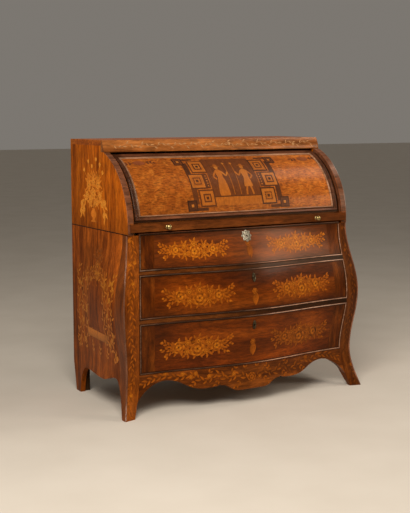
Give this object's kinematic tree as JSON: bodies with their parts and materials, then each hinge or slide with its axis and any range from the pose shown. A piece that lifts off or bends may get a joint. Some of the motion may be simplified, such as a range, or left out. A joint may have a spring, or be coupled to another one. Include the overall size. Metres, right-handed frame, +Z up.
{
  "type": "cylinder desk",
  "caption": "Bombe cylinder desk with marquetry veneer, a roll-back quarter cylinder linked to a pull-out writing slide, and long drawers below.",
  "frame": {"origin": "on the floor, under the middle of the desk's overall width and depth", "axes": "+Z up, the front faces -Y, +X to the right of someone in front of it"},
  "size_m": [1.168, 0.6285, 1.09],
  "materials": {
    "walnut": "french polished veneer",
    "burr_walnut": "french polished burr veneer",
    "dark_moulding": "dark polished moulding",
    "oak": "plain planed oak",
    "brass": "worn lacquered brass",
    "iron": "forged, oiled",
    "leather": "brown skiver, satin"
  },
  "bodies": {
    "case": {"lower_side_left": "walnut", "lower_side_right": "walnut", "front_post_left": "walnut", "front_post_right": "walnut", "rear_feet": "oak", "lower_back": "oak", "bottom_board": "oak", "apron": "walnut", "upper_drawer_rail": "walnut", "lower_drawer_rail": "walnut", "chest_top": "oak", "drawer_runners": "oak", "upper_side_left": "walnut", "upper_side_right": "walnut", "fascia": "walnut", "top_board": "walnut", "upper_back": "oak", "slide_bearers": "oak", "cylinder_pivots": "iron", "nest_base": "oak", "nest_shelf": "oak", "nest_top": "oak", "nest_ends": "oak", "nest_partitions": "oak"},
    "slide": {"slide_board": "oak", "slide_rail": "walnut", "writing_leather": "leather", "slide_knob_left": "brass", "slide_knob_right": "brass", "slide_link_plates": "iron"},
    "cylinder": {"cylinder_shell": "burr_walnut", "cylinder_quadrant_left": "oak", "cylinder_quadrant_right": "oak", "cylinder_cranks": "iron", "cylinder_moulding": "dark_moulding"},
    "drawer_one": {"drawer_one_front": "walnut", "drawer_one_box": "oak", "drawer_one_bottom": "oak", "drawer_one_bead": "dark_moulding", "drawer_one_escutcheon": "brass", "drawer_one_lock": "iron"},
    "bolt_one": {"drawer_one_bolt": "iron"},
    "drawer_two": {"drawer_two_front": "walnut", "drawer_two_box": "oak", "drawer_two_bottom": "oak", "drawer_two_bead": "dark_moulding", "drawer_two_escutcheon": "brass", "drawer_two_lock": "iron"},
    "bolt_two": {"drawer_two_bolt": "iron"},
    "drawer_three": {"drawer_three_front": "walnut", "drawer_three_box": "oak", "drawer_three_bottom": "oak", "drawer_three_bead": "dark_moulding", "drawer_three_escutcheon": "brass", "drawer_three_lock": "iron"},
    "bolt_three": {"drawer_three_bolt": "iron"},
    "small_left": {"small_drawer_left": "walnut"},
    "small_middle": {"small_drawer_middle": "walnut"},
    "small_right": {"small_drawer_right": "walnut"}
  },
  "joints": [
    {"name": "cylinder_roll", "type": "hinge", "parent": "case", "child": "cylinder", "pos_m": [0, 0.0935, 0.745], "axis": [-1, 0, 0], "range_deg": [0, 56]},
    {"name": "slide_pull", "type": "slide", "parent": "case", "child": "slide", "axis": [0, -1, 0], "range_m": [0, 0.1296]},
    {"name": "drawer_one_pull", "type": "slide", "parent": "case", "child": "drawer_one", "axis": [0, -1, 0], "range_m": [0, 0.37]},
    {"name": "bolt_one_throw", "type": "slide", "parent": "drawer_one", "child": "bolt_one", "axis": [0, 0, 1], "range_m": [0, 0.009]},
    {"name": "drawer_two_pull", "type": "slide", "parent": "case", "child": "drawer_two", "axis": [0, -1, 0], "range_m": [0, 0.37]},
    {"name": "bolt_two_throw", "type": "slide", "parent": "drawer_two", "child": "bolt_two", "axis": [0, 0, 1], "range_m": [0, 0.009]},
    {"name": "drawer_three_pull", "type": "slide", "parent": "case", "child": "drawer_three", "axis": [0, -1, 0], "range_m": [0, 0.37]},
    {"name": "bolt_three_throw", "type": "slide", "parent": "drawer_three", "child": "bolt_three", "axis": [0, 0, 1], "range_m": [0, 0.009]},
    {"name": "small_left_pull", "type": "slide", "parent": "case", "child": "small_left", "axis": [0, -1, 0], "range_m": [0, 0.13]},
    {"name": "small_middle_pull", "type": "slide", "parent": "case", "child": "small_middle", "axis": [0, -1, 0], "range_m": [0, 0.13]},
    {"name": "small_right_pull", "type": "slide", "parent": "case", "child": "small_right", "axis": [0, -1, 0], "range_m": [0, 0.13]}
  ],
  "couplings": [
    {"joint": "slide_pull", "follows": "cylinder_roll", "m_per_rad": 0.13257}
  ]
}
